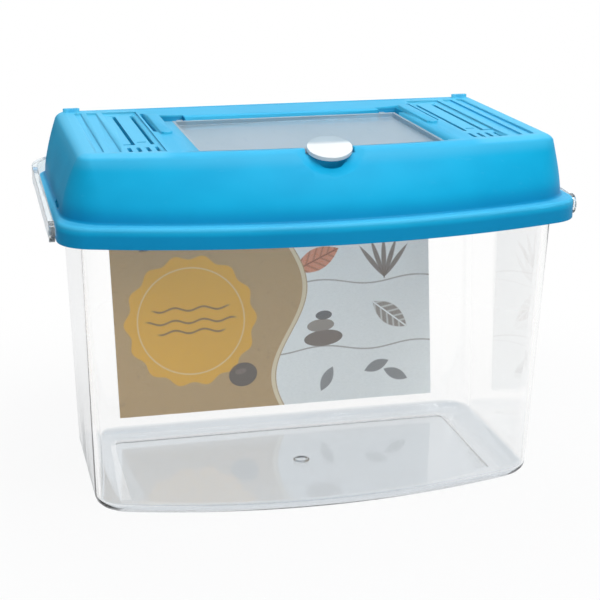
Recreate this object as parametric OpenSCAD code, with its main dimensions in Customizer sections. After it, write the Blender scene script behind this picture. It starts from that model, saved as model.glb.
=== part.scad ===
// Small clear plastic pet keeper: a drafted tank with a bowed front, a domed lid with
// vent slots, a hinged feeding hatch, a folding carry handle and a printed card.
// Millimetres. +Z up, the bowed front faces -Y, origin under the middle of the object.

/* [Lid rim] */
// Width of the lid over its rim
rim_w = 180; // [176:1:190]
// Depth of the rim from its back to the middle of the bowed front
rim_d = 116.6; // [115:0.2:119]
// How far the front of the rim bows out ahead of its corners
rim_bow = 16.4; // [15:0.2:17]
// Corner radius of the rim
rim_corner = 14; // [12:1:16]
// Height of the skirt that hangs round the top of the tank
skirt_h = 7.1; // [6.5:0.1:8]

/* [Lid dome] */
// Height of the deck above the ledge
dome_h = 21.8; // [20:0.2:24]
// Width over the shoulders of the dome
deck_w = 165; // [163:0.5:168]
// Set back of the front shoulder from the rim's front
deck_set = 14; // [12:1:15]
// How far the front shoulder bows out
deck_bow = 8.5; // [7:0.5:11]
// Radius of the shoulder between wall and deck
shoulder_r = 4; // [3.4:0.1:4.4]
// Wall thickness of the lid
lid_wall = 1.8; // [1.6:0.1:2]

/* [Tank] */
// Height of the tank to the top of its lip
tank_h = 105.2; // [100:0.1:112]
// Width of the tank under its lip
tank_top_w = 164.6; // [163:0.2:166]
// Width of the tank at its foot
tank_foot_w = 159.6; // [156:0.2:162]
// Depth of the tank under its lip
tank_top_d = 108.2; // [106:0.2:109]
// Depth of the tank at its foot
tank_foot_d = 87.6; // [84:0.2:90]
// Bow of the tank's front wall at its foot
tank_foot_bow = 12.5; // [11:0.5:14]
// Bow of the tank's front wall under its lip
tank_top_bow = 15.2; // [14.6:0.2:16]
// Corner radius of the tank
tank_corner = 11; // [10:1:12]
// Wall thickness of the tank
tank_wall = 1.6; // [1.4:0.1:2]
// Thickness of the floor
floor_t = 2; // [1.8:0.1:2.4]

/* [Hatch] */
// Width of the well that the hatch lies in
well_w = 85.6; // [84:0.2:87]
// Depth of the hatch's top face under the deck
hatch_drop = 2.3; // [2.2:0.1:2.5]
// Thickness of the hatch
hatch_t = 1.6; // [1.4:0.1:1.8]
// Width of the oval thumb tab
tab_w = 15.5; // [13:0.5:18]

/* [Vents] */
// Slots in each front row
row_slots = 4; // [3:1:4]
// Width of a slot
slot_w = 1.3; // [1.1:0.1:1.6]

/* [Handle] */
// Thickness of the arms and the eyes
arm_t = 2; // [1.8:0.1:2.4]
// Height of the arms and the grip
arm_h = 5.6; // [5:0.1:6]
// Thickness of the grip, front to back
grip_t = 3.4; // [3:0.1:4]
// Angle at which the folded arms rise to the back
arm_rise = 3.5; // [3:0.5:5]

/* [Card] */
// Width of the printed card
card_w = 128; // [110:1:130]
// Height of the printed card
card_h = 88; // [70:1:90]
// Thickness of the printed card
card_t = 0.4; // [0.3:0.1:0.5]

/* [Hidden] */
$fn = 48;
eps = 0.02;
through = 1;

// Places along Y: the grip lies behind the rim, and the whole object is centred
handle_gap = 0.9;
rim_back = (rim_d - handle_gap - grip_t) / 2;
rim_front = rim_back - rim_d;
tank_back_top = rim_back - 5;
tank_back_foot = rim_back - 14;
deck_front = rim_front + deck_set;

// Heights
ledge_z = tank_h + lid_wall;
skirt_z = ledge_z - skirt_h;
deck_z = ledge_z + dome_h;
hatch_z = deck_z - hatch_drop - hatch_t;
seat_z = hatch_z - 0.1;

// Points per corner and along a bow: every ring of a loft has the same count
corner_steps = 7;
bow_steps = 22;

function mix(a, b, t) = a + (b - a) * t;
function arc(cx, cy, r, from, to, steps) =
    [for (i = [0:steps]) let (t = mix(from, to, i / steps)) [cx + r * cos(t), cy + r * sin(t)]];

// Plan outline: straight back and sides, bowed front, rounded corners.
// a is the half width, back and front are the ends at X = 0, s is the bow's height,
// r and rb the front and back corners.
function plan(a, back, front, s, r, rb) =
    let (
        bow_r = (a * a + s * s) / (2 * s),
        bow_y = front + bow_r,
        fx = a - r,
        fy = bow_y - sqrt(pow(bow_r - r, 2) - fx * fx),
        tip = atan2(fy - bow_y, fx),
        bow = arc(0, bow_y, bow_r, 180 - tip, 360 + tip, bow_steps)
    )
    concat(
        arc(a - rb, back - rb, rb, 0, 90, corner_steps),
        arc(rb - a, back - rb, rb, 90, 180, corner_steps),
        arc(-fx, fy, r, 180, 180 - tip, corner_steps),
        [for (i = [1:bow_steps - 1]) bow[i]],
        arc(fx, fy, r, 360 + tip, 360, corner_steps)
    );
function lift(outline, z) = [for (p = outline) [p[0], p[1], z]];

// Walls between each ring of a list and the next
function skin(n, from, to) =
    [for (i = [0:n - 1]) let (k = (i + 1) % n)
        each [[from + i, to + i, to + k], [from + i, to + k, from + k]]];

// A closed solid through a list of rings, capped at the first and the last
module loft(rings) {
    n = len(rings[0]);
    last = (len(rings) - 1) * n;
    walls = [for (j = [0:len(rings) - 2]) each skin(n, j * n, (j + 1) * n)];
    floor_cap = [[for (i = [0:n - 1]) i]];
    top_cap = [[for (i = [n - 1:-1:0]) last + i]];
    polyhedron([for (r = rings) each r], concat(walls, floor_cap, top_cap));
}

// A closed hoop through a list of rings, the last joined to the first
module hoop(rings) {
    n = len(rings[0]);
    m = len(rings);
    polyhedron([for (r = rings) each r], [for (j = [0:m - 1]) each skin(n, j * n, ((j + 1) % m) * n)]);
}

module mirrored() {
    children();
    mirror([1, 0, 0]) children();
}

// Box given by its ranges in X, Y and Z
module span(x, y, z) {
    translate([x[0], y[0], z[0]]) cube([x[1] - x[0], y[1] - y[0], z[1] - z[0]]);
}

// Outline of the rim, moved in by o, at height z
function rim_ring(z, o) =
    lift(plan(rim_w / 2 - o, rim_back - o, rim_front + o, rim_bow, rim_corner - o, rim_corner - o), z);

// Tank: outline at height z, moved out by o and drawn in at the sides by d
foot_r = 5;
foot_side = 9;
lip_t = 2;
lip_in = 2.8;
function tank_ring(z, o, d = 0) =
    let (
        t = z / tank_h,
        back = mix(tank_back_foot, tank_back_top, t),
        front = back - mix(tank_foot_d, tank_top_d, t),
        r = max(tank_corner + o, 2)
    )
    lift(plan(mix(tank_foot_w, tank_top_w, t) / 2 + o - d, back + o, front - o,
        mix(tank_foot_bow, tank_top_bow, t), r, r), z);
function tank_round(t, z, r, o) =
    tank_ring(z + r * (1 - cos(t)), o - r * (1 - sin(t)), (foot_side - foot_r) * (1 - sin(t)));

foot_w = 3.8;
foot_h = 0.6;
gate_y = tank_back_foot - tank_foot_d / 2;

module tank() {
    inner_r = foot_r - tank_wall;
    inner_side = foot_side - foot_r;
    rings = concat(
        [
            tank_ring(foot_h, -foot_r - foot_w - foot_h, inner_side),
            tank_ring(0, -foot_r - foot_w, inner_side)
        ],
        [for (t = [0:18:90]) tank_round(t, 0, foot_r, 0)],
        [
            tank_ring(tank_h - lip_t - 0.4, 0),
            rim_ring(tank_h - lip_t, lip_in),
            rim_ring(tank_h - 0.4, lip_in),
            rim_ring(tank_h, lip_in + 0.4),
            tank_ring(tank_h, 0.4 - tank_wall),
            tank_ring(tank_h - 0.4, -tank_wall)
        ],
        [for (t = [90:-22.5:0]) tank_round(t, floor_t, inner_r, -tank_wall)]
    );
    color("lightcyan", 0.5) difference() {
        union() {
            loft(rings);
            // Witness ring of the moulding gate
            translate([0, gate_y, floor_t - foot_h]) cylinder(r = 3, h = 2 * foot_h);
        }
        translate([0, gate_y, floor_t + 0.2]) cylinder(r = 2, h = through);
    }
}

// Card: stands flat against the inner face of the back wall
card_z = 8.6;
card_shift = 1;
module card() {
    lean = atan((tank_back_top - tank_back_foot) / tank_h);
    wall_y = mix(tank_back_foot, tank_back_top, card_z / tank_h) - tank_wall;
    color("burlywood") translate([card_shift, wall_y, card_z]) rotate([-lean, 0, 0])
        translate([-card_w / 2, -card_t, 0]) cube([card_w, card_t, card_h]);
}

// Dome: outline between its foot (t = 0) and the shoulder (t = 1), moved in by o.
// The wall stands nearly upright at its foot and leans in more and more, as dome_curve gives;
// the shoulder takes it on from shoulder_lean to the flat deck.
dome_in = 2.4;
dome_front_in = 3.9;
dome_curve = 1.5;
foot_corner = [19, 11.6];
deck_corner = [5.5, 5];
shoulder_lean = 30;
wall_top = deck_z - shoulder_r * (1 - sin(shoulder_lean));
function dome_plan(t, o) =
    plan(mix(rim_w / 2 - dome_in, deck_w / 2, t) - o, rim_back - dome_in - o,
        mix(rim_front + dome_front_in, deck_front, t) + o, mix(rim_bow, deck_bow, t),
        max(mix(foot_corner[0], deck_corner[0], t) - o, 1),
        max(mix(foot_corner[1], deck_corner[1], t) - o, 1));
function wall_ring(t, o) =
    lift(dome_plan(pow(t, dome_curve), o), mix(ledge_z + foot_fillet, wall_top, t));
function shoulder_ring(t, o) =
    let (r = shoulder_r - o)
    lift(dome_plan(1, o + r * (cos(shoulder_lean) - cos(t))), deck_z - shoulder_r + r * sin(t));

skirt_wall = 1.6;
edge_r = 1.3;
foot_fillet = 1;
deck_lap = 2;

// The moulding without its deck: skirt, ledge, dome walls and shoulder
module lid_walls() {
    rings = concat(
        [
            rim_ring(skirt_z, 0),
            rim_ring(ledge_z - edge_r, 0),
            rim_ring(ledge_z - 0.3 * edge_r, 0.3 * edge_r),
            rim_ring(ledge_z, edge_r),
            lift(dome_plan(0, -foot_fillet), ledge_z),
            lift(dome_plan(0, -0.3 * foot_fillet), ledge_z + 0.3 * foot_fillet)
        ],
        [for (t = [0:0.125:0.875]) wall_ring(t, 0)],
        [for (t = [shoulder_lean:15:90]) shoulder_ring(t, 0)],
        [
            lift(dome_plan(1, shoulder_r + deck_lap), deck_z),
            lift(dome_plan(1, shoulder_r + deck_lap), deck_z - lid_wall)
        ],
        [for (t = [90:-30:shoulder_lean]) shoulder_ring(t, lid_wall)],
        [for (t = [0.8:-0.2:0.2]) wall_ring(t, lid_wall)],
        [
            lift(dome_plan(0, lid_wall), tank_h),
            rim_ring(tank_h, skirt_wall),
            rim_ring(skirt_z, skirt_wall)
        ]
    );
    hoop(rings);
}

// Long shape with round ends, run long and w wide: its middle lies y in front of the rim's back
module slot(x, y, run, turn = 0, w = slot_w) {
    translate([x, rim_back - y]) rotate(turn) {
        square([w, run - w], center = true);
        for (side = [-1, 1]) translate([0, side * (run - w) / 2]) circle(w / 2);
    }
}

// Vent slots of the right half: beside the pad strip, two long ones, their cross slots, the front row
strip_slot = [51.6, 37, 38];
long_slots = [[55.4, 47, 58], [61.9, 47, 58]];
cross_slots = [[58.6, 71.3, 3.4], [63.4, 75.1, 4.8]];
row_first = [54.9, 84.5, 7.6];
row_pitch = 3.1;
module vent_slots() {
    slot(strip_slot[0], strip_slot[1], strip_slot[2]);
    for (s = long_slots) slot(s[0], s[1], s[2]);
    for (s = cross_slots) slot(s[0], s[1], s[2], 90);
    for (i = [0:row_slots - 1]) slot(row_first[0] + row_pitch * i, row_first[1], row_first[2]);
}

// Front shoulder's line over the deck, at X = x
function shoulder_y(x) =
    let (a = deck_w / 2, r = (a * a + deck_bow * deck_bow) / (2 * deck_bow))
    deck_front + r - sqrt(r * r - x * x);

// Area between a straight back and a front that follows the shoulder
well_steps = 12;
module bay(x0, x1, back, front_in) {
    front = [for (i = [0:well_steps]) let (x = mix(x0, x1, i / well_steps)) [x, shoulder_y(x) + front_in]];
    polygon(concat(front, [[x1, back], [x0, back]]));
}

// Hinge of the hatch
hinge_y = rim_back - 27.6;
hinge_z = seat_z + 0.5;
pin_r = 1.2;
bore_r = 1.3;
knuckle_r = 2.3;
pocket_x = [37, 45.5];
hinge_x = pocket_x[0];
well_back = hinge_y - 2.2;
well_front_in = 5.2;
seat_w = 4.3;
scoop_r = 30;
scoop_in = 2.5;
scoop_steps = 144;
scoop_off = (scoop_r - scoop_in) * sin(45);
scoop_y = deck_front + shoulder_r * (cos(shoulder_lean) - cos(45)) - scoop_off;
scoop_z = deck_z - shoulder_r * (1 - sin(45)) + scoop_off;

// Sunk strips of the vent fields, with ribs left between them
field_drop = 0.7;
fields = [[53, 65.6], [67.6, 71.4], [73.2, 75.8]];

// Raised pads of the deck: [X, distance in front of the rim's back, length, turn, width, height]
strip_pad = [48.2, 42.5, 39, 0, 4.1, 0.7];
corner_pad = [76.4, 7.4, 6.2, 90, 2.4, 1.2];
pad_root = 0.9;
groove = [60, 7.4, 6.6, 0.6];

// Well pan and hinge blocks under the deck
pan_t = 1.6;
block_in = 6.4;
block_y = [10.5, 5.4];
pocket_y = [9, 3.8];
drain = [3.6, 0.6, 4, 3.4];

// Snap lugs that hook under the tank's lip, with the core holes above them
lug_y = [73, 65];
lug_z = [0.8, 2.2];
core_x = 84.6;
core_grow = 1;

// Nibs that the folded arms rest on, measured from the handle's pins
nib_y = [74, 78];
nib_h = 1.4;

// Notch and stiffener under the thumb tab
notch_half = 8.4;
notch_drop = 1.9;
stiff_half = 16;

module bore(x0, x1, y, z, r) {
    translate([x0, y, z]) rotate([0, 90, 0]) cylinder(r = r, h = x1 - x0);
}

module lid_solid() {
    lid_walls();
    translate([0, 0, deck_z - lid_wall + eps]) linear_extrude(lid_wall - 2 * eps) difference() {
        polygon(dome_plan(1, shoulder_r + deck_lap / 2));
        mirrored() vent_slots();
    }
    // Pan of the hatch well, with blocks that hold the hinge
    translate([0, 0, seat_z - pan_t]) linear_extrude(deck_z - pad_root - seat_z + pan_t)
        bay(-well_w / 2 - pan_t, well_w / 2 + pan_t, well_back + pan_t, well_front_in - pan_t);
    mirrored() span([hinge_x - block_in, pocket_x[1] + pan_t],
        [hinge_y - block_y[0], hinge_y + block_y[1]], [hinge_z - knuckle_r - pan_t, deck_z - pad_root]);
    // Stiffener behind the scoop
    span([-stiff_half, stiff_half], [deck_front + 1, deck_front + well_front_in - 1],
        [deck_z - 8, deck_z - 2]);
    mirrored() {
        deck_pad(strip_pad);
        deck_pad(corner_pad);
        span([rim_w / 2 - lip_in + 0.3, rim_w / 2 - skirt_wall + 0.3],
            [rim_back - lug_y[0], rim_back - lug_y[1]], [skirt_z + lug_z[0], skirt_z + lug_z[1]]);
        at_handle() span([rim_w / 2 - 0.8, rim_w / 2 + arm_t], nib_y,
            [-arm_h / 2 - 0.1 - nib_h, -arm_h / 2 - 0.1]);
    }
}

module deck_pad(p) {
    translate([0, 0, deck_z - pad_root]) linear_extrude(pad_root + p[5]) slot(p[0], p[1], p[2], p[3], p[4]);
}

module lid() {
    color("deepskyblue") difference() {
        lid_solid();
        // Well and its opening
        translate([0, 0, seat_z]) linear_extrude(deck_z)
            bay(-well_w / 2, well_w / 2, well_back, well_front_in);
        translate([0, 0, seat_z - 5]) linear_extrude(10)
            bay(seat_w - well_w / 2, well_w / 2 - seat_w, well_back - 6.6, well_front_in + seat_w);
        mirrored() {
            // Hinge pocket, open below its outer part
            span(pocket_x, [hinge_y - pocket_y[0], hinge_y + pocket_y[1]],
                [hinge_z - knuckle_r - 0.4, deck_z + through]);
            span([pocket_x[0] + drain[0], pocket_x[1] - drain[1]],
                [hinge_y - drain[2], hinge_y + drain[3]], [seat_z - 8, deck_z]);
            bore(hinge_x - 2.4, hinge_x + 0.6, hinge_y, hinge_z, bore_r);
            // Vent fields lie a little under the deck
            translate([0, 0, deck_z - field_drop]) linear_extrude(through)
                for (x = fields) bay(x[0], x[1], rim_back - 12, shoulder_r + 2);
            span([core_x, rim_w / 2 - skirt_wall - 0.4],
                [rim_back - lug_y[0] - core_grow, rim_back - lug_y[1] + core_grow],
                [tank_h - through, ledge_z + 1.6]);
            bore(86, 91, pivot_y, pivot_z, pin_hole_r);
        }
        // Groove along the back of the deck
        span([-groove[0], groove[0]], [rim_back - groove[1], rim_back - groove[2]],
            [deck_z - groove[3], deck_z + through]);
        // Scoop and notch under the thumb tab
        translate([0, scoop_y, scoop_z]) sphere(scoop_r, $fn = scoop_steps);
        span([-notch_half, notch_half], [deck_front + 2, deck_front + well_front_in + 1],
            [deck_z - notch_drop, deck_z + through]);
    }
}

// Hatch: panel with a raised edge, two hinge arms and the tab
tab_len = 13;
tab_tilt = 24;
tab_t = 1.6;
neck_half = 4.5;
hatch_edge = 1.2;
arm_w = 2.4;
module hatch() {
    clear = 0.4;
    half = well_w / 2 - clear;
    back = hinge_y - 5;
    arm_x = [hinge_x + clear, hinge_x + clear + arm_w];
    front_in = well_front_in + clear;
    color("lightsteelblue", 0.6) {
        translate([0, 0, hatch_z]) linear_extrude(hatch_t) bay(-half, half, back, front_in);
        translate([0, 0, hatch_z + hatch_t / 2]) linear_extrude(deck_z - 0.6 - hatch_z - hatch_t / 2)
            difference() {
                bay(-half, half, back, front_in);
                bay(hatch_edge - half, half - hatch_edge, back - hatch_edge, front_in + hatch_edge);
            }
        mirrored() {
            span(arm_x, [back - 1.2, hinge_y], [hinge_z - 1.9, hinge_z + knuckle_r]);
            bore(arm_x[0], arm_x[1], hinge_y, hinge_z, knuckle_r);
            bore(hinge_x - 1.7, hinge_x + 0.8, hinge_y, hinge_z, pin_r);
        }
        // Neck and oval tab, tipped forward over the shoulder
        span([-neck_half, neck_half], [deck_front + front_in + 0.3, deck_front + front_in + 2.3],
            [hatch_z + hatch_t / 2, deck_z + 1.6]);
        translate([0, deck_front + 3.2, deck_z - 0.2]) rotate([tab_tilt, 0, 0])
            translate([0, 0, -tab_t / 2]) linear_extrude(tab_t)
                polygon([for (i = [0:35]) [tab_w / 2 * cos(i * 10), tab_len / 2 * sin(i * 10)]]);
    }
}

// Handle: pivots in the skirt's ends, folded back behind the rim
pivot_y = rim_back - 87.4;
pivot_z = skirt_z + 2.8;
pin_hole_r = 1.7;
handle_pin_r = 1.6;
eye_r = 3.6;
arm_in = rim_w / 2 + 0.3;
bail_r = 14.2;
module at_handle() {
    translate([0, pivot_y, pivot_z]) rotate([arm_rise, 0, 0]) children();
}

// Outline of a bail: two straight sides and a back with round corners
function bail(a, back, r) = concat([[a, 0]], arc(a - r, back - r, r, 0, 90, 8),
    arc(r - a, back - r, r, 90, 180, 8), [[-a, 0]]);

module handle() {
    reach = rim_back + handle_gap - pivot_y;
    head_x = rim_w / 2 - skirt_wall - 0.2;
    color("white", 0.6) at_handle() {
        translate([0, 0, -arm_h / 2]) linear_extrude(arm_h) difference() {
            polygon(bail(arm_in + arm_t, reach + grip_t, bail_r + arm_t + 0.4));
            polygon(bail(arm_in, reach, bail_r));
        }
        mirrored() {
            difference() {
                bore(arm_in, arm_in + arm_t, 0, 0, eye_r);
                bore(arm_in + arm_t - 0.7, arm_in + arm_t + through, 0, 0, 1.6);
            }
            bore(head_x - 0.4, arm_in + 0.5, 0, 0, handle_pin_r);
            bore(head_x - 0.7, head_x, 0, 0, handle_pin_r + 0.4);
        }
    }
}

tank();
card();
lid();
hatch();
handle();
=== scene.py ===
"""Small clear plastic pet keeper on a pale studio floor, seen as in the photograph."""
import math

import bpy
from mathutils import Matrix, Vector


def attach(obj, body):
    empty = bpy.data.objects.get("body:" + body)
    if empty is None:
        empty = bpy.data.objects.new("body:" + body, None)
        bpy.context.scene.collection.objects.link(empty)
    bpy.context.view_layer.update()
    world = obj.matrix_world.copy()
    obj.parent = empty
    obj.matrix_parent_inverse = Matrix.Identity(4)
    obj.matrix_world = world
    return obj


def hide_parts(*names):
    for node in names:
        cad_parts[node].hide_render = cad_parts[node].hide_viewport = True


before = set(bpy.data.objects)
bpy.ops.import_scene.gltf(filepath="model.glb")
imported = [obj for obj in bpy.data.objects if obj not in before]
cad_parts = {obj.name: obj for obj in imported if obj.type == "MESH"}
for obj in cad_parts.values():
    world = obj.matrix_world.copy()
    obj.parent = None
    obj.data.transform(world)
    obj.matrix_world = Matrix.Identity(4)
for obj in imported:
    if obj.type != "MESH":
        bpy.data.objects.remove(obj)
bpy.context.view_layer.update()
MM = 0.001


# Camera. A long lens that stands to the left of the keeper's middle and looks a little down on it.
# Its place and direction come from a fit to the outline of the rim, the deck and the tank.
CAMERA_PLACE = Vector((-0.12567, -0.53271, 0.22459))
CAMERA_AIM = Vector((0.22064, 0.93387, -0.28142))
LENS = 93
SENSOR_WIDTH = 36
NEAREST_SEEN = 0.01


def looking(place, aim):
    """The placing of a camera or a lamp that stands at place and looks along aim."""
    return Matrix.Translation(place) @ aim.to_track_quat("-Z", "Y").to_matrix().to_4x4()


lens = bpy.data.cameras.new("camera")
lens.lens = LENS
lens.sensor_width = SENSOR_WIDTH
lens.clip_start = NEAREST_SEEN
camera = bpy.data.objects.new("camera", lens)
camera.matrix_world = looking(CAMERA_PLACE, CAMERA_AIM)
bpy.context.scene.collection.objects.link(camera)
bpy.context.scene.camera = camera
bpy.context.scene.view_settings.view_transform = "Standard"


# Studio lamps. A large soft lamp high over the front right, a weaker one from the front left, and
# one from above the back. Places and sizes are in metres and powers in watts.
KEEPER_MIDDLE = Vector((0, 0, 0.09))


def add_lamp(name, place, size, power):
    lamp = bpy.data.lights.new(name, "AREA")
    lamp.shape = "SQUARE"
    lamp.size = size
    lamp.energy = power
    stand = bpy.data.objects.new(name, lamp)
    stand.matrix_world = looking(Vector(place), KEEPER_MIDDLE - Vector(place))
    bpy.context.scene.collection.objects.link(stand)


add_lamp("key_light", place=(0.3, -0.55, 1.15), size=0.7, power=10.6)
add_lamp("fill_light", place=(-0.7, -0.8, 0.9), size=0.6, power=3.2)
add_lamp("top_light", place=(0.1, 0.3, 1.2), size=0.8, power=5.0)


# White room. A weak cool light from all round, and plain white where it is seen straight or
# through a clear piece. What a gloss mirrors of it is dimmer in front of the keeper and darker
# still to its left, so that the clear walls and the rims show their edges.
class Wire:
    """An output of a shader node that can be reckoned with."""

    def __init__(self, shade, socket):
        self.shade = shade
        self.socket = socket

    def output(self, name):
        """Another output of the same node."""
        return Wire(self.shade, self.socket.node.outputs[name])

    def reckon(self, operation, first, second=None):
        return self.shade.node("ShaderNodeMath", {"operation": operation}, {0: first, 1: second})

    def __add__(self, other):
        return self.reckon("ADD", self, other)

    __radd__ = __add__

    def __sub__(self, other):
        return self.reckon("SUBTRACT", self, other)

    def __rsub__(self, other):
        return self.reckon("SUBTRACT", other, self)

    def __mul__(self, other):
        return self.reckon("MULTIPLY", self, other)

    __rmul__ = __mul__

    def __truediv__(self, other):
        return self.reckon("DIVIDE", self, other)

    def __pow__(self, other):
        return self.reckon("POWER", self, other)

    def __abs__(self):
        return self.reckon("ABSOLUTE", self)

    def most(self, other):
        return self.reckon("MAXIMUM", self, other)

    def root(self):
        return self.reckon("SQRT", self)

    def saw(self):
        """Runs from 0 to 1 over and over."""
        return self.reckon("FRACT", self)

    def wave(self, rate, height):
        """Swings between height and -height."""
        return self.reckon("COSINE", self * rate) * height

    def turn_from(self, right):
        """The angle of a point that lies this far up and right of a centre."""
        return self.reckon("ARCTAN2", self, right)

    def between(self, low, high):
        """0 below low and 1 above high, with a soft step."""
        ends = {"Value": self, "From Min": low, "From Max": high}
        return self.shade.node("ShaderNodeMapRange", {"interpolation_type": "SMOOTHSTEP"}, ends)

    def band(self, rise, fall):
        """1 between two soft steps: up through the pair of values rise, down through fall."""
        return self.between(*rise) * (1 - self.between(*fall))


class Shade:
    """The shader of a material or of the room, put together node by node."""

    def __init__(self, owner, output="ShaderNodeOutputMaterial"):
        owner.use_nodes = True
        self.owner = owner
        self.tree = owner.node_tree
        self.tree.nodes.clear()
        self.output = self.tree.nodes.new(output)

    def node(self, kind, settings=None, inputs=None, out=0):
        new = self.tree.nodes.new(kind)
        for name, value in (settings or {}).items():
            setattr(new, name, value)
        for name, value in (inputs or {}).items():
            if isinstance(value, Wire):
                self.tree.links.new(value.socket, new.inputs[name])
            elif value is not None:
                new.inputs[name].default_value = value
        return Wire(self, new.outputs[out])

    def parts(self, vector):
        """The x, y and z of a vector."""
        x = self.node("ShaderNodeSeparateXYZ", None, {0: vector})
        return x, x.output("Y"), x.output("Z")

    def place(self):
        """Object coordinates in millimetres: the vector and its three parts."""
        coords = {0: self.node("ShaderNodeTexCoord", out="Object"), "Scale": 1 / MM}
        scaled = self.node("ShaderNodeVectorMath", {"operation": "SCALE"}, coords)
        return scaled, *self.parts(scaled)

    def sight(self):
        """Two masks: what is seen straight or through a clear piece, and what is mirrored."""
        straight = self.node("ShaderNodeLightPath", out="Is Camera Ray")
        mirrored = straight.output("Is Glossy Ray")
        return straight.most(straight.output("Is Transmission Ray")), mirrored

    def stretch(self, vector, scale):
        return self.node("ShaderNodeVectorMath", {"operation": "MULTIPLY"}, {0: vector, 1: scale})

    def noise(self, vector, scale, detail, rough):
        inputs = {"Vector": vector, "Scale": scale, "Detail": detail, "Roughness": rough}
        return self.node("ShaderNodeTexNoise", None, inputs)

    def mix(self, mask, first, second):
        """Colour first where mask is 0 and second where it is 1.

        The node's colour sockets come after those for numbers and vectors."""
        inputs = {0: mask, 6: first, 7: second}
        return self.node("ShaderNodeMix", {"data_type": "RGBA"}, inputs, out=2)

    def blend(self, mask, first, second):
        """Shader first where mask is 0 and second where it is 1."""
        return self.node("ShaderNodeMixShader", None, {0: mask, 1: first, 2: second})

    def bump(self, height, strength, distance):
        inputs = {"Height": height, "Strength": strength, "Distance": distance}
        return self.node("ShaderNodeBump", None, inputs)

    def finish(self, shader):
        self.tree.links.new(shader.socket, self.output.inputs["Surface"])
        return self.owner


WHITE = (1, 1, 1, 1)
ROOM_TINT, ROOM_LIGHT = (0.93, 0.97, 1.0, 1), 0.28
FRONT_TO_BACK, FRONT_DIM = (-0.5, 0.3), 0.72
LEFT_TO_RIGHT, LEFT_DIM = (-0.35, 0.1), 0.15

room = Shade(bpy.data.worlds.new("white_room"), "ShaderNodeOutputWorld")


def wall(way, turn, dim):
    """Runs from dim to 1 as the view turns through the two values of turn along an axis."""
    ends = {"Value": way, "From Min": turn[0], "From Max": turn[1], "To Min": dim}
    return room.node("ShaderNodeMapRange", None, ends)


room_right, room_back = room.parts(room.node("ShaderNodeTexCoord", out="Generated"))[:2]
room_straight, room_mirrored = room.sight()
room_dim = wall(room_back, FRONT_TO_BACK, FRONT_DIM) * wall(room_right, LEFT_TO_RIGHT, LEFT_DIM)
room_light = {"Color": ROOM_TINT, "Strength": ROOM_LIGHT}
room_view = {"Color": WHITE, "Strength": room_straight.most(room_dim)}
room_shader = room.blend(
    room_straight.most(room_mirrored),
    room.node("ShaderNodeBackground", None, room_light),
    room.node("ShaderNodeBackground", None, room_view),
)
bpy.context.scene.world = room.finish(room_shader)


# Floor. A wide pale sheet of studio paper that the keeper stands on; not part of the object. It is
# white where it is seen straight, with a little of its own tone near the keeper for the shadow.
# A gloss mirrors it greyer, and darker still to the left. The fades are in millimetres.
FLOOR_SIZE = 6.0
PAPER_DARK, PAPER_LIGHT = (0.60, 0.61, 0.62, 1), (0.64, 0.65, 0.66, 1)
NEAR_KEEPER, NEAR_WHITE = (100, 250), 0.92
MIRRORED_FADE, MIRRORED_WHITE = (-330, -130), 0.6
FAR_LEFT, FAR_LEFT_TONE = (-420, -220), (0.03, 0.07, 0.10, 1)

bpy.ops.mesh.primitive_plane_add(size=FLOOR_SIZE, location=(0, 0, 0))
floor = bpy.context.object
floor.name = "floor"
paper = Shade(bpy.data.materials.new("studio_paper"))
paper_place, paper_x, paper_y = paper.place()[:3]
paper_straight, paper_mirrored = paper.sight()
paper_fibre = paper.noise(paper_place, scale=0.4, detail=4.0, rough=0.6)
paper_colour = paper.mix(paper_fibre, PAPER_DARK, PAPER_LIGHT)
paper_far_left = paper_mirrored * (1 - paper_x.between(*FAR_LEFT))
paper_colour = paper.mix(paper_far_left, paper_colour, FAR_LEFT_TONE)
paper_faded = paper_mirrored * paper_x.between(*MIRRORED_FADE) * MIRRORED_WHITE
from_keeper = (paper_x * paper_x + paper_y * paper_y).root()
paper_tone = from_keeper.between(*NEAR_KEEPER) * (1 - NEAR_WHITE) + NEAR_WHITE
paper_shader = paper.blend(
    paper_straight.most(paper_faded) * paper_tone,
    paper.node("ShaderNodeBsdfDiffuse", None, {"Color": paper_colour}),
    paper.node("ShaderNodeEmission", None, {"Color": WHITE, "Strength": 1.0}),
)
floor.data.materials.append(paper.finish(paper_shader))


# Tank. One injection moulding in clear polystyrene: drafted walls, a bowed front, a rounded foot
# and a lip round the top that the lid snaps over. The walls are polished, and the floor and the
# foot are a little matt.
MERGE_DISTANCE = 1e-6
FLAT_ANGLE, SMOOTH_ANGLE, SHARP_ANGLE = math.radians(0.5), math.radians(30), math.radians(40)
ROUND_STEPS = 2
LARGE_FACES_LEAD = 100


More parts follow.
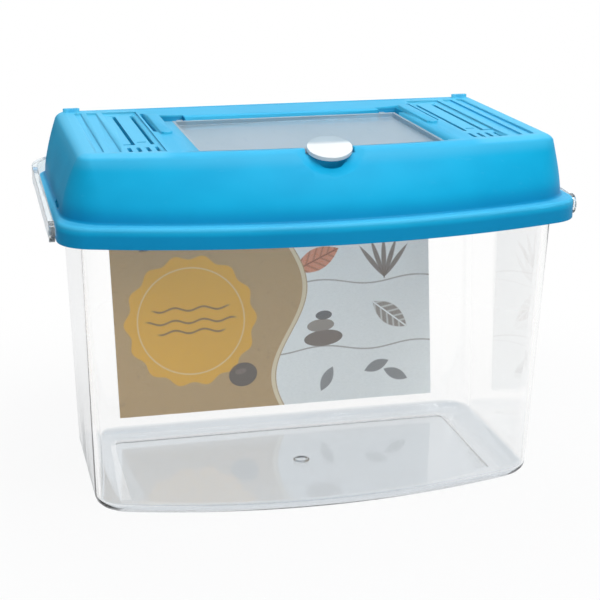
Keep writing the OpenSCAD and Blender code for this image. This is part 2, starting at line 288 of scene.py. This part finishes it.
def smooth_copy(node, name, edge=0.0):
    """The node's mesh with its triangles joined, its curves shaded smooth and its flats kept flat.

    edge is the width in millimetres of the round on its sharp edges."""
    piece = bpy.data.objects.new(name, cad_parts[node].data.copy())
    bpy.context.scene.collection.objects.link(piece)
    bpy.ops.object.select_all(action="DESELECT")
    piece.select_set(True)
    bpy.context.view_layer.objects.active = piece
    bpy.ops.object.mode_set(mode="EDIT")
    bpy.ops.mesh.select_all(action="SELECT")
    bpy.ops.mesh.remove_doubles(threshold=MERGE_DISTANCE)
    if edge:
        bpy.ops.mesh.dissolve_limited(angle_limit=FLAT_ANGLE)
    bpy.ops.mesh.select_all(action="DESELECT")
    bpy.ops.object.mode_set(mode="OBJECT")
    if edge:
        rounds = piece.modifiers.new("rounds", "BEVEL")
        rounds.width = edge * MM
        rounds.segments = ROUND_STEPS
        rounds.limit_method = "ANGLE"
        rounds.angle_limit = SHARP_ANGLE
        rounds.use_clamp_overlap = True
        bpy.ops.object.modifier_apply(modifier=rounds.name)
    bpy.ops.object.shade_smooth_by_angle(angle=SMOOTH_ANGLE)
    flats = piece.modifiers.new("flats", "WEIGHTED_NORMAL")
    flats.keep_sharp = True
    flats.weight = LARGE_FACES_LEAD
    bpy.ops.object.modifier_apply(modifier=flats.name)
    piece.data.materials.clear()
    return piece


PLASTIC_IOR = 1.5
SCUFF_ROUGHNESS, MATT_ROUGHNESS = 0.05, 0.07


def clear_plastic(name, tint, rough, shadow, milk=0.0, matt_top=None, matt_tint=None):
    """Clear moulded plastic with flow waves and fine scuffs; milk is 0 where it is quite clear.

    shadow tints the light that passes through to other pieces. matt_top is the pair of heights
    between which a matt foot ends, and matt_tint the plastic's tint below them."""
    shade = Shade(bpy.data.materials.new(name))
    place, _, _, z = shade.place()
    flow = shade.noise(shade.stretch(place, (1, 1, 0.45)), scale=0.035, detail=2.0, rough=0.4)
    scuffs = shade.noise(shade.stretch(place, (1, 1, 5)), scale=0.5, detail=4.0, rough=0.6)
    roughness = scuffs.between(0.58, 0.78) * SCUFF_ROUGHNESS + rough
    if matt_top:
        matt = 1 - z.between(*matt_top)
        roughness = roughness + matt * MATT_ROUGHNESS
        tint = shade.mix(matt, tint, matt_tint)
    settings = {
        "Base Color": tint,
        "Roughness": roughness,
        "IOR": PLASTIC_IOR,
        "Transmission Weight": 1.0 - milk,
        "Normal": shade.bump(flow, strength=0.1, distance=1.0 * MM),
    }
    plastic = shade.node("ShaderNodeBsdfPrincipled", None, settings)
    through = shade.node("ShaderNodeBsdfTransparent", None, {"Color": shadow})
    lamp_ray = shade.node("ShaderNodeLightPath", out="Is Shadow Ray")
    return shade.finish(shade.blend(lamp_ray, plastic, through))


TANK_TINT = (0.998, 0.998, 0.996, 1)
TANK_SHADOW = (0.95, 0.965, 0.975, 1)
TANK_ROUGHNESS = 0.015
TANK_FLOOR = (0.69, 0.73, 0.765, 1)
TANK_FLOOR_TOP = (4.0, 5.2)

tank = smooth_copy("tank", "tank_shell")
tank.data.materials.append(
    clear_plastic(
        "clear_polystyrene",
        TANK_TINT,
        TANK_ROUGHNESS,
        TANK_SHADOW,
        matt_top=TANK_FLOOR_TOP,
        matt_tint=TANK_FLOOR,
    )
)
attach(tank, "base")
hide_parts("tank")


# Card. Matt coated board against the inside of the back wall: a kraft field with a scalloped sun,
# ripples and a pebble, and a pale panel with leaves, stones and reeds. Its back is plain grey
# board. Places and sizes in the print are in millimetres.
MUSTARD, CREAM = (0.80, 0.42, 0.008, 1), (0.80, 0.72, 0.52, 1)
ORANGE, RUST = (0.68, 0.20, 0.07, 1), (0.33, 0.085, 0.03, 1)
SLATE, UMBER, STONE = (0.05, 0.05, 0.06, 1), (0.12, 0.075, 0.05, 1), (0.25, 0.21, 0.175, 1)
KRAFT_DARK, KRAFT_LIGHT = (0.45, 0.30, 0.135, 1), (0.525, 0.36, 0.17, 1)
PANEL_DARK, PANEL_LIGHT = (0.83, 0.87, 0.87, 1), (0.89, 0.93, 0.93, 1)
BOARD_DARK, BOARD_LIGHT = (0.50, 0.48, 0.45, 1), (0.58, 0.56, 0.53, 1)
PRINT_EDGE, STROKE_EDGE, OVAL_EDGE = 0.25, 0.12, 0.05
FINE_LINE, GROUND_LINE, RIPPLE_LINE, BORDER_LINE = 0.3, 0.28, 0.4, 0.8
VEIN_SLANT, VEIN_SPACING, VEIN_HALF, VEIN_INK = 0.9, 3.2, 0.14, 0.6
SUN_CENTRE, SUN_RADIUS, SUN_RING_INSET = (-33.5, 45.5), 25.5, 4.2
SCALLOPS, SCALLOP_HEIGHT = 14, 0.9
RIPPLES = ((50.5, 15.0), (45.5, 17.5), (41.5, 13.0))
PEBBLE, PEBBLE_LIGHT = ((-13.5, 22.5), 12, 5.8, 4.8), ((-14.5, 23.8), 12, 2.4, 1.1)
KRAFT_LEAVES = (((-49, 76.5), 30), ((-40, 77.5), -25), ((-31, 76.5), 30))
GROUND_LEVELS = (30.5, 57.5)
ORANGE_LEAF, PALE_LEAF = ((18, 67), 24), ((48, 43), -38)
REED_CENTRE, REED_REACH, REED_ANGLES = (46, 58.5), 8.0, (52, 71, 90, 109, 128)
LOW_STONE, MIDDLE_STONE = ((20.0, 35.0), 4, 8.0, 3.2), ((19.0, 40.2), 4, 5.6, 2.5)
TOP_STONE = ((20.4, 44.3), 4, 3.4, 1.8)
FALLEN_LEAVES = (((42, 22), 20), ((50, 18), 155), ((21, 18), 62))
BORDER_CENTRE, BORDER_LINE_INSET = (7, 20), 1.2


def turned(x, z, centre, degrees):
    """Distances along and across a motif that is turned about its centre."""
    along, across = math.cos(math.radians(degrees)), math.sin(math.radians(degrees))
    right, up = x - centre[0], z - centre[1]
    return right * along + up * across, up * along - right * across


def inside(value, soft=PRINT_EDGE):
    return value.between(-soft, soft)


def stroke(value, half):
    """A line of half width half along where the value is 0."""
    return 1 - abs(value).between(half - STROKE_EDGE, half + STROKE_EDGE)


def leaf(x, z, centre, degrees, length, width):
    """Area of a pointed leaf."""
    u, v = turned(x, z, centre, degrees)
    return inside((1 - (u / length) ** 2) * width - abs(v))


def veins(x, z, centre, degrees):
    """Midrib and side veins of a leaf, which run on beyond its edge."""
    u, v = turned(x, z, centre, degrees)
    side_veins = ((u - abs(v) * VEIN_SLANT) / VEIN_SPACING).saw() - 0.5
    return stroke(v, FINE_LINE).most(stroke(side_veins, VEIN_HALF) * VEIN_INK)


def oval(x, z, centre, degrees, wide, high):
    """Area of an oval that reaches wide and high from its centre."""
    u, v = turned(x, z, centre, degrees)
    return inside(1 - (u / wide) ** 2 - (v / high) ** 2, OVAL_EDGE)


def card_print():
    shade = Shade(bpy.data.materials.new("printed_card"))
    place, x, _, z = shade.place()
    fibre = shade.noise(shade.stretch(place, (1, 1, 2.5)), scale=0.9, detail=5.0, rough=0.65)
    speck = shade.noise(place, scale=0.55, detail=2.0, rough=0.5).between(0.66, 0.74)
    print_wear = fibre.between(0.35, 0.8) * 0.16 + 0.84

    def ink(paint, mask, tone, share):
        """The paint with a motif of another tone over it, which covers it by share."""
        return shade.mix(mask * share, paint, tone)

    # Kraft field: the sun, three ripples over it, a dark pebble with its light, and three leaves
    field = shade.mix(fibre.between(0.3, 0.75), KRAFT_DARK, KRAFT_LIGHT)
    field = ink(field, speck, UMBER, share=0.25)
    right, up = x - SUN_CENTRE[0], z - SUN_CENTRE[1]
    reach = (right * right + up * up).root() - SUN_RADIUS
    sun = inside(up.turn_from(right).wave(SCALLOPS, SCALLOP_HEIGHT) - reach)
    field = ink(field, sun, MUSTARD, share=print_wear)
    field = ink(field, stroke(reach + SUN_RING_INSET, FINE_LINE) * sun, CREAM, share=0.45)
    for level, span in RIPPLES:
        ripple = stroke(z - level + x.wave(rate=0.55, height=0.7), RIPPLE_LINE)
        field = ink(field, ripple * inside(span - abs(right), soft=1.5), UMBER, share=0.75)
    field = ink(field, oval(x, z, *PEBBLE), SLATE, share=0.85)
    field = ink(field, oval(x, z, *PEBBLE_LIGHT), STONE, share=0.5)
    for centre, degrees in KRAFT_LEAVES:
        field = ink(field, leaf(x, z, centre, degrees, length=4.6, width=1.7), UMBER, share=0.8)

    # Pale panel: ground lines, a veined leaf, reeds, a stack of stones, and more leaves
    panel = shade.mix(fibre.between(0.35, 0.7), PANEL_DARK, PANEL_LIGHT)
    for level in GROUND_LEVELS:
        ground = stroke(z - level + x.wave(rate=0.16, height=1.2), GROUND_LINE)
        panel = ink(panel, ground, UMBER, share=0.6)
    area = leaf(x, z, *ORANGE_LEAF, length=10.0, width=4.4)
    panel = ink(panel, area, ORANGE, share=print_wear)
    panel = ink(panel, area, RUST, share=veins(x, z, *ORANGE_LEAF))
    for degrees in REED_ANGLES:
        lean = math.radians(degrees)
        centre = Vector(REED_CENTRE) + REED_REACH * Vector((math.cos(lean), math.sin(lean)))
        panel = ink(panel, leaf(x, z, centre, degrees, length=8.5, width=1.0), UMBER, share=0.85)
    for stone, tone in ((LOW_STONE, UMBER), (MIDDLE_STONE, STONE), (TOP_STONE, SLATE)):
        panel = ink(panel, oval(x, z, *stone), tone, share=0.9)
    area = leaf(x, z, *PALE_LEAF, length=9.0, width=4.0)
    panel = ink(panel, area, STONE, share=0.9)
    panel = ink(panel, area, PANEL_LIGHT, share=veins(x, z, *PALE_LEAF))
    for centre, degrees in FALLEN_LEAVES:
        panel = ink(panel, leaf(x, z, centre, degrees, length=5.5, width=2.2), SLATE, share=0.75)

    # The wavy border between the two, with a cream line, and the plain back
    border = x - BORDER_CENTRE[0] + (z - BORDER_CENTRE[1]).wave(rate=0.085, height=7.0)
    front = shade.mix(inside(border), field, panel)
    front = ink(front, stroke(border + BORDER_LINE_INSET, BORDER_LINE), CREAM, share=0.85)
    board = shade.mix(fibre.between(0.3, 0.7), BOARD_DARK, BOARD_LIGHT)
    facing_back = shade.parts(shade.node("ShaderNodeTexCoord", out="Normal"))[1]
    settings = {
        "Base Color": shade.mix(facing_back.between(-0.1, 0.1), front, board),
        "Roughness": fibre * 0.2 + 0.5,
        "Normal": shade.bump(fibre, strength=0.2, distance=0.05 * MM),
    }
    return shade.finish(shade.node("ShaderNodeBsdfPrincipled", None, settings))


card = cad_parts["card"]
card.data.materials.clear()
card.data.materials.append(card_print())


# Lid. One moulding in sky blue polypropylene with a satin skin: skirt, ledge, dome, deck with
# vent slots, the hatch's well and the hinge pockets. It snaps over the tank's lip. Each pair of
# plain numbers here is where a tone starts and stops changing, in millimetres.
SKY_DARK, SKY_LIGHT = (0.002, 0.365, 0.655, 1), (0.004, 0.415, 0.715, 1)
# Paler blue: painted highlights, a painted reflection and real wear. Deeper blue: painted shade.
HIGHLIGHT_AND_WEAR_BLUE, PAINTED_SHADE_BLUE = (0.14, 0.56, 0.82, 1), (0.0, 0.20, 0.44, 1)
LID_IOR, LID_SHINE, LID_ROUGHNESS = 1.49, 0.12, 0.40
# Painted highlights on the rim edge, ribs and shoulder, a painted reflection on the vent fields;
# real wear
RIM_EDGE, RIM_HIGHLIGHT = ((104.9, 106.6), (107.0, 107.3)), 0.35
RIB_MIDDLES, RIB_HALVES, RIB_HIGHLIGHT = (66.6, 72.3, 78.2), (0.9, 0.9, 1.7), 0.5
RIB_TOP, RIB_LENGTH = (128.5, 128.7), ((-38, -36), (42, 44))
SHOULDER, SHOULDER_HIGHLIGHT = (123, 127), 0.25
FIELD_SIDE, FIELD_TOP, FIELD_REFLECTION = (50, 56), (127.4, 128.0), 0.3
RUB_WEAR = 0.1
# Where and how strongly painted shade darkens the dome's foot, the hinge pockets and the skirt
FOOT, FOOT_SHADE = ((106.9, 107.3), (107.5, 114.0)), 0.65
POCKET_X, POCKET_Y, POCKET_HALF_WIDTH, POCKET_HALF_LENGTH = 41.2, 26.0, 4.6, 6.6
POCKET_TOP, POCKET_SHADE = (128.0, 128.6), 0.7
SKIRT_TOP, SKIRT_SHADE = (103.6, 105.4), 0.68


def satin_blue():
    shade = Shade(bpy.data.materials.new("blue_polypropylene"))
    place, x, y, z = shade.place()
    skin = shade.noise(place, scale=3.5, detail=3.0, rough=0.6)
    cloud = shade.noise(shade.stretch(place, (1, 1, 2.2)), scale=0.03, detail=2.0, rough=0.5)
    rubs = shade.noise(shade.stretch(place, (0.4, 2.2, 1.4)), scale=0.35, detail=4.0, rough=0.65)
    rubs = rubs.between(0.6, 0.8)
    colour = shade.mix(cloud.between(0.3, 0.7), SKY_DARK, SKY_LIGHT)

    # Painted highlights, paler on the rim's upper edge, the ribs beside the vent slots and the
    # shoulder, and a painted reflection, paler on the vent fields; the random rubs over them are
    # real wear
    side = abs(x)
    inner, middle, outer = (stroke(side - rib, half) for rib, half in zip(RIB_MIDDLES, RIB_HALVES))
    ribs = inner.most(middle).most(outer) * z.between(*RIB_TOP) * y.band(*RIB_LENGTH)
    shoulder = z.between(*SHOULDER) * SHOULDER_HIGHLIGHT
    fields = side.between(*FIELD_SIDE) * z.between(*FIELD_TOP) * FIELD_REFLECTION
    painted_highlights = (z.band(*RIM_EDGE) * RIM_HIGHLIGHT).most(ribs * RIB_HIGHLIGHT).most(shoulder + fields)
    colour = shade.mix(painted_highlights + rubs * RUB_WEAR, colour, HIGHLIGHT_AND_WEAR_BLUE)

    # Painted shade, darker at the dome's foot, in the hinge pockets and on the skirt
    pocket = stroke(side - POCKET_X, POCKET_HALF_WIDTH) * stroke(y - POCKET_Y, POCKET_HALF_LENGTH)
    pocket = pocket * (1 - z.between(*POCKET_TOP))
    skirt = 1 - z.between(*SKIRT_TOP)
    painted_shade = (z.band(*FOOT) * FOOT_SHADE).most(pocket * POCKET_SHADE).most(skirt * SKIRT_SHADE)
    settings = {
        "Base Color": shade.mix(painted_shade, colour, PAINTED_SHADE_BLUE),
        "Roughness": skin * 0.12 + rubs * 0.06 + LID_ROUGHNESS,
        "IOR": LID_IOR,
        "Specular IOR Level": LID_SHINE,
        "Normal": shade.bump(skin, strength=0.25, distance=0.05 * MM),
    }
    return shade.finish(shade.node("ShaderNodeBsdfPrincipled", None, settings))


lid = smooth_copy("lid", "lid_moulding")
lid.data.materials.append(satin_blue())
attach(lid, "lid_body")
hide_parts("lid")


# Hatch. A door moulded in clear plastic that is a little frosted, with a raised edge, two hinge
# arms and an oval thumb tab, which is paler and less clear. Its two pins are flexed into the
# bores beside the well.
HATCH_ROUND = 0.3
PANE_DARK, PANE_LIGHT = (0.41, 0.53, 0.61, 1), (0.45, 0.56, 0.64, 1)
TAB_END, TAB_TINT = (-42.5, -40.5), (0.76, 0.80, 0.82, 1)
PANE_COVER, TAB_COVER = 0.55, 0.85
HATCH_ROUGHNESS = 0.28


def frosted_door():
    shade = Shade(bpy.data.materials.new("frosted_door"))
    place, _, y, _ = shade.place()
    flow = shade.noise(shade.stretch(place, (1, 0.4, 1)), scale=0.06, detail=3.0, rough=0.5)
    scuffs = shade.noise(shade.stretch(place, (1.6, 0.4, 1)), scale=0.25, detail=3.0, rough=0.6)
    pane = shade.mix(flow.between(0.3, 0.7), PANE_DARK, PANE_LIGHT)
    tab = 1 - y.between(*TAB_END)
    settings = {
        "Base Color": shade.mix(tab, pane, TAB_TINT),
        "Roughness": scuffs.between(0.56, 0.8) * 0.06 + HATCH_ROUGHNESS,
        "IOR": PLASTIC_IOR,
        "Alpha": tab * (TAB_COVER - PANE_COVER) + PANE_COVER,
        "Normal": shade.bump(flow, strength=0.1, distance=0.6 * MM),
    }
    return shade.finish(shade.node("ShaderNodeBsdfPrincipled", None, settings))


hatch = smooth_copy("hatch", "hatch_door", edge=HATCH_ROUND)
hatch.data.materials.append(frosted_door())
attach(hatch, "hatch_body")
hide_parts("hatch")


# Handle. A bail moulded in clear plastic, a touch milky. Its arms spring over the lid's ends, it
# turns on two inward pins in the skirt, and it folds back behind the rim.
HANDLE_ROUND = 0.35
HANDLE_TINT = (0.86, 0.93, 0.96, 1)
HANDLE_SHADOW = (0.85, 0.88, 0.9, 1)
HANDLE_ROUGHNESS = 0.08
HANDLE_MILK = 0.06

handle = smooth_copy("handle", "carry_handle", edge=HANDLE_ROUND)
handle.data.materials.append(
    clear_plastic("clear_handle", HANDLE_TINT, HANDLE_ROUGHNESS, HANDLE_SHADOW, milk=HANDLE_MILK)
)
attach(handle, "handle_body")
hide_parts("handle")
